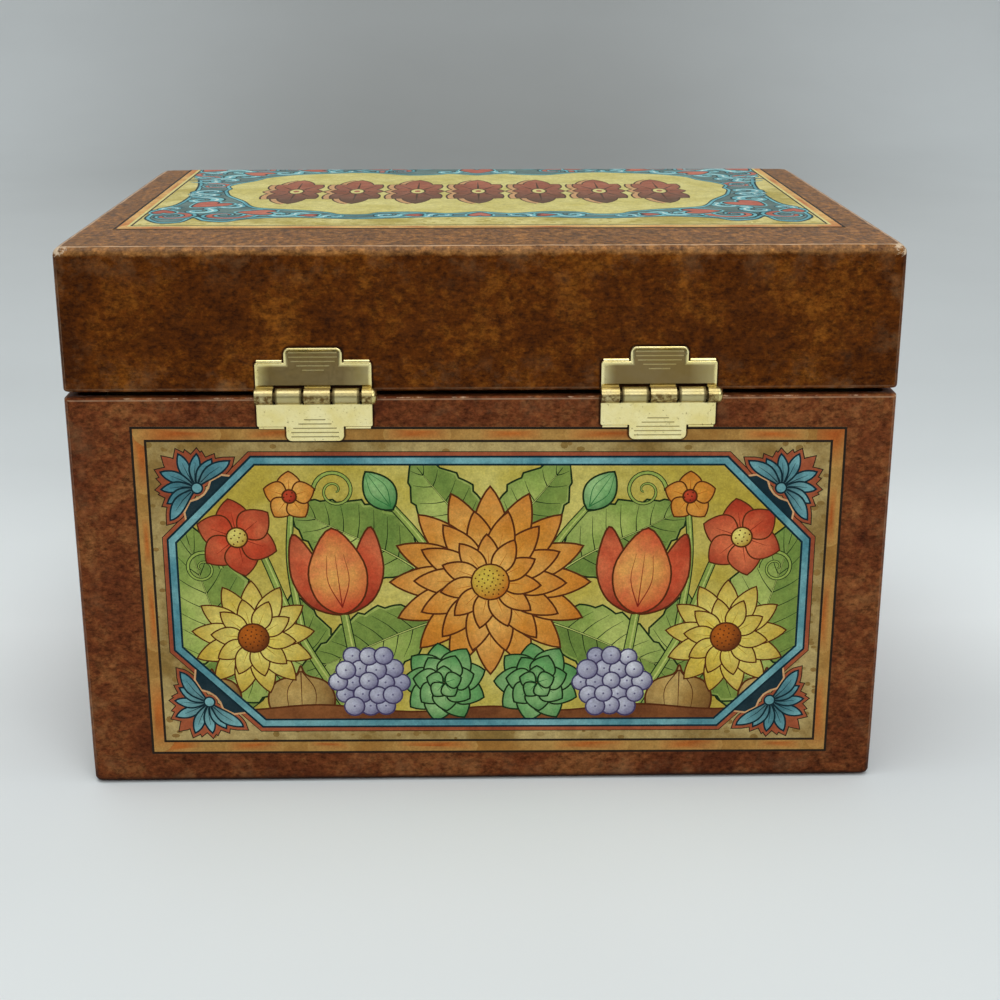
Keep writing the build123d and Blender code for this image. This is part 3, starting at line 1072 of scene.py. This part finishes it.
def draw_bouquet(art):
    """The flower picture: a bouquet, the same on both sides but for its clusters."""
    for side in (-1, 1):
        for x, y, turn, length, width, bend, teeth in LEAVES:
            draw_leaf(art, (side * x, y), turn * side, length, width, bend * side, teeth)
        draw_tendril(art, (side * 26.5, 19.0), 3.4, side)
        draw_tendril(art, (side * 49.6, 5.0), 3.0, -side)
        for points, start, end in STEMS:
            draw_stem(art, mirrored(points, side), start, end)
        draw_bud(art, (16.6, 15.6), -34, 8.2, 5.4, side)
        draw_tulip(art, (25.6, -3.5), -6, 1.22, side)
        draw_flower(art, (side * 34.2, 18.0), [(5, 0.5, 4.0, 4.0, 0)], ORANGE, ORANGE_EDGE)
        draw_flower_eye(art, (side * 34.2, 18.0), 1.2, RED[1], RED_EDGE, 5)
        draw_flower(art, (side * 43.4, 10.6), [(6, 0.7, 6.4, 5.8, 10)], RED, RED_EDGE)
        draw_flower_eye(art, (side * 43.4, 10.6), 1.8, LEMON[0], LEMON_EDGE, 9)
        draw_bulb(art, (side * 33.4, -19.4), 0.95)
        draw_bulb(art, (side * 49.0, -19.0), 0.8)
        petals = [(13, 1.9, 8.8, 4.2, 0), (10, 1.4, 6.0, 3.4, 13)]
        draw_flower(art, (side * 41.4, -8.0), petals, LEMON, LEMON_EDGE)
        draw_flower_eye(art, (side * 41.4, -8.0), 2.7, ORANGE_EDGE, BROWN_LINE, 22)
    earth = np.vstack((spline(EARTH_TOP, 6), [(-56, -26), (56, -26)]))
    art.drawn(earth, BOLD, BROWN_LINE, EARTH)
    petals = [(16, 3.6, 13.8, 5.8, 0), (14, 2.6, 10.6, 4.8, 12), (11, 1.6, 7.2, 3.8, 4)]
    draw_flower(art, (0, 2.4), petals, ORANGE, ORANGE_EDGE, BOLD)
    draw_flower_eye(art, (0, 2.4), 3.3, LEMON[1], ORANGE_EDGE, 32)
    for side in (-1, 1):
        petals = [(9, 0.8, 6.8, 5.6, 8), (7, 0.6, 4.9, 4.6, 30), (5, 0.2, 3.0, 3.2, 0)]
        draw_flower(art, (side * 8.2, -16.6), petals, BUD, BUD_EDGE, THIN, LEAF_LINE)
        draw_cluster(art, (side * 21.4, -16.4), 7.4, 6.0, 1.6, 7 + 2 * side)


# ---------------------------------------------------------------- panel frame

# Angle, length, width and bend of the petals on one side of a corner fan
PALMETTE = ((12, 6.6, 2.0, 0.9), (34, 5.9, 1.9, 1.4), (56, 5.6, 1.9, 1.7), (78, 7.2, 2.4, 2.2))
FLAMES = ((0, 6.9), (31, 5.9), (-31, 5.9), (55, 5.6), (-55, 5.6), (74, 5.4), (-74, 5.4))
WEDGE = (
    (-6.0, -3.3), (6.0, -3.3), (4.6, -1.5), (2.6, -0.9), (1.4, -1.5),
    (0, -1.75), (-1.4, -1.5), (-2.6, -0.9), (-4.6, -1.5),
)


def draw_palmette(art, at, turn):
    """The traditional fan of petals in a contour band, with a dark wedge under it."""

    def fanned(points, angle):
        return placed(placed(points, (0, 0), -angle), at, turn)

    fan = [(side * a, b, c, side * d) for a, b, c, d in PALMETTE for side in (1, -1)]
    petals = [fanned(petal_outline(b, c, d, blunt=1.45), angle) for angle, b, c, d in fan]
    flames = [fanned(petal_outline(length, 1.7, blunt=1.3), angle) for angle, length in FLAMES]
    heart = circle(at, 0.95)
    for distance, inks in ((0.76, LINE), (0.58, RUST)):
        for petal in petals + flames:
            art.lay(grow(petal, distance), inks)
        art.lay(grow(heart, distance * 0.7), inks)
    wedge = placed(WEDGE, at, turn)
    art.lay(grow(wedge, 0.34), PEACH)
    art.lay(wedge, (NAVY, BLUE_LINE))
    for petal, (angle, length, width, bend) in zip(petals, fan):
        tip = petal[len(petal) // 2]
        art.drawn(petal, THIN, BLUE_LINE, BLUE, (NAVY, tip, length * 1.25))
        rib = [(0, 1.2), (bend * 0.2, length * 0.45), (bend * 0.6, length * 0.75)]
        art.lay(stroke(fanned(rib, angle), 0.2, 0.05), BLUE_LINE)
    art.drawn(heart, THIN, BLUE_LINE, BLUE)


def ring_outline(outer, inner):
    """The outline of the band between two closed outlines, with a seam across it."""
    return np.vstack((outer, outer[:1], inner[:1], inner[::-1]))


def draw_band(art, half_x, half_y, width, inks, rust, seed):
    """A framing band whose colour drifts between two inks along its length."""
    outer, inner = rectangle(half_x, half_y), rectangle(half_x - width, half_y - width)
    art.lay(outer, inks)
    art.clip = ring_outline(outer, inner)
    scatter = random.Random(seed)
    middle_x, middle_y = half_x - width / 2, half_y - width / 2
    for side in (-1, 1):
        for upright, half, gaps in ((False, half_x, (2.0, 16.0)), (True, half_y, (0.0, 6.0))):
            place = -half
            while place < half:
                reach = scatter.uniform(3.5, 8.0)
                if upright:
                    at, radii = (side * (middle_x - width * 0.3), place + reach), (3.2, reach)
                else:
                    at, radii = (place + reach, side * middle_y), (reach, 3.2)
                art.lay(circle(at, *radii), rust, (inks[0], at, reach))
                place += 2 * reach + scatter.uniform(*gaps)
    art.clip = None


PRINT_HALF = 60.45, 30.3
PRINT_HEIGHT = 35.72  # middle of the panels on the base
PRINT_SHIFT = 1.25  # the back's panel sits this far off the middle
PRINT_TILT = 0.006  # radians


def draw_box_print():
    """Framed panel of the base: bands, eight-sided ribbon, corner fans and the bouquet."""
    half_x, half_y = PRINT_HALF
    art = Print(half_x, half_y)
    art.lay(rectangle(half_x, half_y), LINE)
    draw_band(art, half_x - 0.42, half_y - 0.42, 1.87, BAND, BAND_RUST, 4)
    art.lay(rectangle(half_x - 2.27, half_y - 2.27), LINE)
    cream = rectangle(half_x - 2.69, half_y - 2.69)
    art.lay(cream, CREAM)
    art.clip = cream
    stains = random.Random(21)
    for _ in range(420):
        if stains.random() < 0.5:
            at = stains.uniform(-58, 58), stains.choice((-1, 1)) * stains.uniform(19.0, 27.6)
        else:
            at = stains.choice((-1, 1)) * stains.uniform(48.0, 58.2), stains.uniform(-27.5, 27.5)
        size = stains.uniform(0.25, 0.8)
        ink = stains.choice((CREAM[1], STAIN, CREAM[0]))
        spot = circle(at, size, size * stains.uniform(0.5, 1.0), steps=8)
        art.lay(spot, (ink, CREAM[1]), (CREAM[1], at, size * 1.3))
    art.clip = None
    ribbon = chamfered(55.45, 25.25, 14.9)
    art.lay(grow(ribbon, 0.76), LINE)
    art.lay(grow(ribbon, 0.62), RUST)
    for side_x in (-1, 1):
        for side_y in (-1, 1):
            at = side_x * 49.75, side_y * 19.85 - 0.35
            draw_palmette(art, at, math.degrees(math.atan2(side_y, side_x)) - 90)
    for inset, inks in ((0, BLUE_LINE), (0.36, BLUE), (1.42, BLUE_LINE)):
        art.lay(grow(ribbon, -inset), inks)
    picture = grow(ribbon, -1.78)
    art.lay(picture, YELLOW, (YELLOW_EDGE, (0, 4), 62.0))
    art.clip = picture
    draw_bouquet(art)
    art.clip = None
    return art


# ---------------------------------------------------------------- lid print

LID_YELLOW = colour(220, 210, 136), colour(204, 192, 112)
LID_CREAM = colour(220, 208, 136), colour(180, 164, 84)
LID_BAND = colour(228, 184, 112), colour(206, 152, 86)
LID_RUST_BAND = colour(202, 130, 74), colour(184, 106, 56)
LID_BLUE = colour(128, 196, 200), colour(92, 158, 168)
LID_PALE = colour(206, 228, 220)
LID_GROUND = colour(112, 136, 130), colour(92, 114, 110)
LID_LINE = colour(34, 62, 66)
SALMON = colour(200, 118, 96), colour(178, 96, 78)
LID_RUST = colour(178, 110, 84), colour(156, 92, 70)
LID_SHADE = colour(106, 80, 62)
LID_DARK = colour(82, 62, 46)
LID_PRINT_HALF = 63.6, 26.83
LID_STRETCH = 1.8  # the lid's panel is this much longer from front to back than its drawing
LID_MIDDLE = -13.9  # place of the drawing's middle, from front to back
ORNAMENTS, ORNAMENT_PITCH = 7, 12.2


def draw_scroll(art, at, turn, size, core, side):
    """A C-shaped scroll with a tight curl at one end; a large one has a salmon core."""
    share = np.linspace(0, 1, 26)
    angle = np.radians(200 - 430 * share)
    away = 3.1 * (1 - share) ** 1.2 + 0.35
    curl = np.stack((away * np.cos(angle), away * np.sin(angle)), 1)
    tail = spline([(-8.6, 2.0), (-6.8, -0.6), (-4.8, -1.9), curl[0] + (-0.4, -0.6)], 6)
    line = placed(np.vstack((tail[:-1], curl)), (0, 0), turn, size)
    widths = [(0.8, 2.9, LID_LINE), (0.4, 2.2, LID_BLUE)]
    widths += [(0.2, 1.3, LID_LINE), (0.1, 0.9, SALMON)] if core else [(0.05, 0.5, LID_PALE)]
    for end, middle, inks in widths:
        part = line if end > 0.1 else line[3:-4]
        shape = stroke(part, end * size, end * size, middle * size) / (1, LID_STRETCH)
        art.lay(mirrored(shape + at, side), inks)


def draw_heart(art, at, turn, size, side=1):
    """A salmon heart in a blue contour."""
    half = [(0, -3.0), (1.5, -1.4), (2.5, 0.6), (1.9, 2.3), (0.7, 2.3), (0, 1.4)]
    outline = np.array(half + [(-x, y) for x, y in half[::-1][1:-1]])
    outline = placed(spline(outline, 4, closed=True), (0, 0), turn, size) / (1, LID_STRETCH)
    outline = mirrored(outline + at, side)
    art.lay(grow(outline, 0.5), LID_BLUE[0])
    art.drawn(outline, 0.3, LID_LINE, SALMON)


def draw_ornament(art, x):
    """One of the row of ornaments: eight leaves about an eye, with a pale and a dark shadow."""
    middle = x, -0.5
    leaves = [(turn, 9.6, 5.0) for turn in (0, 180)]
    leaves += [(turn, 7.2, 3.8) for turn in (38, -38, 142, -142)]
    leaves += [(turn, 5.0, 3.4) for turn in (90, -90)]
    parts = [
        placed(petal_outline(length, width, blunt=1.25), middle, turn)
        for turn, length, width in leaves
    ]
    for shift, spread, ink in (
        ((-1.4, 0.2), 0.42, LID_DARK),
        ((-1.2, 0.2), 0.25, PEACH),
        ((0, 0), 0.42, LID_DARK),
    ):
        for part in parts:
            art.lay(grow(part + shift, spread), ink)
    for part in parts:
        art.lay(grow(part, 0.12), LID_RUST, (LID_SHADE, (x, -7.0), 14.0))
    for turn, length, _ in leaves:
        rib = placed([(0, 2.2), (0, length * 0.5), (0, length * 0.8)], middle, turn)
        art.lay(stroke(rib, 0.5, 0.1), LID_DARK)
    art.drawn(circle(middle, 1.5, 1.9, steps=14), 0.3, LID_DARK, LID_YELLOW[0])
    art.lay(circle(middle, 0.6, 0.8, steps=10), LID_RUST[0])


GROUND_EDGE = (
    (0, 19.2), (6, 19.2), (12, 19.5), (16.3, 20), (21.6, 20.4), (27.5, 20), (34.4, 19.2),
    (42, 20.4), (45.5, 22.3), (49.6, 21.4), (51.8, 19.4), (53.2, 22.4), (57, 23), (60.2, 20),
    (60.4, 17), (60.1, 13), (57.6, 9.5), (56.9, 2), (57.6, -5.5), (59.3, -12), (60.6, -19),
    (60.8, -24),
)
FIELD_EDGE = (
    (0, 15.2), (5.9, 16.5), (12, 15.4), (18.4, 15.7), (21, 17.1), (25.6, 17), (28.1, 15.5),
    (33, 14), (40.3, 12.5), (42.9, 11), (45.2, 7.1), (48.6, 3.1), (49.6, 1), (50.3, -1.2),
    (49.9, -3), (50.8, -5.1), (49.5, -7.3), (46.5, -10), (44.5, -13), (40, -15.2),
    (36.3, -16.2), (30, -17.1), (26.7, -17.6), (21.2, -17), (14.5, -14.9), (8.1, -15.6),
    (5.9, -16.4), (0, -14.8),
)
SCROLLS = (  # place, turn, size, with a core or not
    ((46.6, 17.6), 8, 1.5, True),
    ((56.4, 18.2), 100, 1.35, True),
    ((52.2, 14.6), 40, 0.9, False),
    ((57.4, 12.8), 250, 0.7, False),
    ((36.6, 17.0), 0, 0.85, False),
    ((26.4, 18.5), 184, 0.62, False),
    ((17.0, 17.8), -4, 0.8, False),
    ((7.0, 18.0), 184, 0.72, False),
    ((47.4, 11.2), 34, 0.8, False),
    ((53.8, 6.4), 80, 1.15, False),
    ((53.6, -0.4), 262, 1.05, False),
    ((54.4, -5.6), 84, 1.15, True),
    ((56.2, 2.6), 90, 0.5, False),
    ((52.6, -10.6), 210, 0.9, False),
    ((57.6, -11.6), 100, 0.8, False),
    ((57.2, -16.6), 262, 1.25, True),
    ((49.6, -14.2), 190, 1.1, False),
    ((52.0, -18.6), 172, 1.2, False),
    ((55.0, -22.0), 20, 0.9, False),
    ((42.0, -17.6), 8, 0.95, False),
    ((41.0, -21.4), 184, 1.3, True),
    ((30.4, -19.2), -6, 0.9, False),
    ((27.0, -22.2), 184, 1.0, False),
    ((17.0, -19.2), 184, 1.2, True),
    ((12.0, -22.6), -4, 0.9, False),
    ((6.4, -18.4), 6, 0.8, False),
)
HEARTS = (
    ((51.2, 9.8), 142, 1.5),
    ((41.0, 15.6), 84, 1.3),
    ((58.4, 15.2), 10, 0.9),
    ((47.6, -17.0), 60, 1.3),
    ((58.4, -20.6), 150, 1.1),
    ((35.6, -20.2), 96, 1.1),
    ((22.0, -21.6), 90, 1.1),
    ((31.2, 17.8), 90, 0.7),
    ((12.0, 17.9), 90, 0.7),
)


def both_sides(half):
    """A closed outline from its half with x above 0."""
    line = spline(half, 5)
    return np.vstack((line, (line * (-1, 1))[::-1]))


def draw_lid_print():
    """Framed panel of the lid: bands, scroll border and a yellow field with a row of ornaments."""
    half_x, half_y = LID_PRINT_HALF
    start = DEPTH / 2 - LID_FOLD
    folds = [
        (-(start + math.radians(angle) * LID_FOLD) - LID_MIDDLE) / LID_STRETCH
        for angle in (0, 22.5, 45, 67.5, 90)
    ]
    art = Print(half_x, half_y, folds)
    art.lay(rectangle(half_x, half_y), LINE)
    draw_band(art, half_x - 0.45, half_y - 0.45, 1.3, LID_BAND, LID_RUST_BAND, 6)
    art.lay(rectangle(half_x - 1.8, half_y - 1.75), LID_CREAM[0])
    art.lay(rectangle(half_x - 2.3, half_y - 2.1), LINE)
    inner = rectangle(half_x - 2.65, half_y - 2.4)
    art.lay(inner, LID_CREAM)
    art.clip = inner
    specks = random.Random(8)
    for _ in range(150):
        at = specks.uniform(-60, 60), specks.uniform(19.8, 23.8)
        art.lay(circle(at, specks.uniform(0.3, 0.7), 0.3, steps=7), LID_CREAM[1])
    ground, field = both_sides(GROUND_EDGE), both_sides(FIELD_EDGE)
    rims = ((0.2, LID_LINE), (-0.2, LID_BLUE[::-1]), (-0.75, LID_LINE), (-0.95, LID_GROUND))
    for out, inks in rims:
        art.lay(grow(ground, out), inks)
    for side in (-1, 1):
        for scroll in SCROLLS:
            draw_scroll(art, *scroll, side)
        for heart in HEARTS:
            draw_heart(art, *heart, side)
    for out, inks in ((1.0, LID_LINE), (0.8, LID_BLUE), (0.28, LID_LINE), (0.0, LID_YELLOW)):
        art.lay(grow(field, out), inks)
    draw_heart(art, (0, 17.6), 0, 0.9)
    draw_heart(art, (0, -19.4), 180, 1.5)
    for number in range(ORNAMENTS):
        draw_ornament(art, (number - ORNAMENTS // 2) * ORNAMENT_PITCH)
    art.clip = None
    return art


def on_back(flat):
    """On the base's back, a little off the middle and a little tilted."""
    x, y = flat.T
    height = PRINT_HEIGHT + y - PRINT_TILT * x
    points = np.stack((-PRINT_SHIFT - x, np.full(len(flat), DEPTH / 2), height), 1)
    return points, np.tile((0.0, 1.0, 0.0), (len(flat), 1))


def on_front(flat):
    x, y = flat.T
    points = np.stack((x, np.full(len(flat), -DEPTH / 2), PRINT_HEIGHT + y), 1)
    return points, np.tile((0.0, -1.0, 0.0), (len(flat), 1))


def on_lid(flat):
    """Over the lid's top, round the fold at its front edge and down its front wall."""
    past = -(DEPTH / 2 - LID_FOLD) - (LID_MIDDLE + flat[:, 1] * LID_STRETCH)
    angle = np.clip(past / LID_FOLD, 0, np.pi / 2)
    y = -(DEPTH / 2 - LID_FOLD) - LID_FOLD * np.sin(angle) + np.maximum(-past, 0)
    z = TOP - LID_FOLD + LID_FOLD * np.cos(angle) - np.maximum(past - LID_FOLD * np.pi / 2, 0)
    points = np.stack((-flat[:, 0], y, z), 1)
    return points, np.stack((np.zeros(len(flat)), -np.sin(angle), np.cos(angle)), 1)


# ---------------------------------------------------------------- build the scene

set_camera()

# The stage's paper lies flat, curves up beyond the box and stands; y and z in metres
stage_points, stage_faces = [], []
sweep = [(2.6, 0.0), (-0.9, 0.0)]
for step in range(1, 13):
    angle = math.radians(7.5 * step)
    sweep.append((-0.9 - 0.7 * math.sin(angle), 0.7 - 0.7 * math.cos(angle)))
sweep.append((-1.6, 2.6))
for y, z in sweep:
    stage_points += [(-3000, y * 1000, z * 1000), (3000, y * 1000, z * 1000)]
for row in range(0, 2 * len(sweep) - 2, 2):
    stage_faces.append((row + 1, row + 3, row + 2, row))
paper = sweep_paper()
stage = add_piece("stage_sweep", stage_points, stage_faces, [paper], None, smooth=True)

add_area_light("overhead", (0.1, 0.15, 1.1), (0, 0, 0.05), (1.0, 0.8), 5.2, (1.0, 0.99, 0.97))
add_area_light("front_fill", (-0.5, 1.3, 0.85), (0, 0, 0.05), (1.0, 0.7), 6.4, (0.98, 0.99, 1.0))
add_sky()
bpy.context.scene.view_settings.view_transform = "Standard"

lid_tints = colour(66, 30, 4), colour(88, 43, 6), colour(120, 68, 16)
# the last colour is the lid top's lighter tint, painted sheen with dust
lid_paper = brown_paper("lid_cover_paper", lid_tints, LID_RIM, TOP, LID_FOLD, colour(168, 118, 64))
base_tints = colour(86, 41, 20), colour(108, 57, 28), colour(132, 82, 44)
base_paper = brown_paper("base_cover_paper", base_tints, UNDERSIDE_PAPER, BASE_RIM, 0.0, None)
printed = printed_paper("printed_paper")

base_cover = add_cover(
    "base_cover_skin", UNDERSIDE_PAPER, BASE_RIM, BASE_FOLD, True, base_paper, "base"
)
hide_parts("base_cover")
lid_cover = add_cover("lid_cover_skin", 0.0, TOP - LID_RIM, LID_FOLD, False, lid_paper, "lid")
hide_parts("lid_cover")

box_print = draw_box_print().arrange()
add_print("base_back_print", box_print, on_back, printed, "base")
add_print("base_front_print", box_print, on_front, printed, "base")
add_print("lid_print", draw_lid_print().arrange(), on_lid, printed, "lid")

finishes = {"board": chipboard("chipboard")}
for slot, name, light, dark, fibre in (
    ("stay_paper", "gummed_kraft", (196, 164, 118), (168, 134, 90), (110, 80, 50)),
    ("lining_paper", "buff_lining", (228, 214, 184), (206, 188, 154), (150, 120, 84)),
    ("underside_paper", "underside_brown", (104, 72, 48), (80, 52, 34), (50, 32, 22)),
):
    finishes[slot] = plain_paper(name, colour(*light), colour(*dark), colour(*fibre))
brass_names = {"lid": "lid_leaf_brass", "base": "base_leaf_brass", "pin": "pin_brass"}
brass = {part: brass_plate(name, part) for part, name in brass_names.items()}
slots = {row["node"]: row["material_slot"] for row in frame["record"]["subparts"]}
for node, thing in frame["nodes"].items():
    slot = slots[node]
    if slot == "hinge_brass":
        material = brass["lid" if "lid_leaf" in node else "base" if "base_leaf" in node else "pin"]
    elif slot == "cover_paper":
        material = lid_paper if node.startswith("lid") else base_paper
    else:
        material = finishes[slot]
    for place in thing.material_slots:
        place.material = material
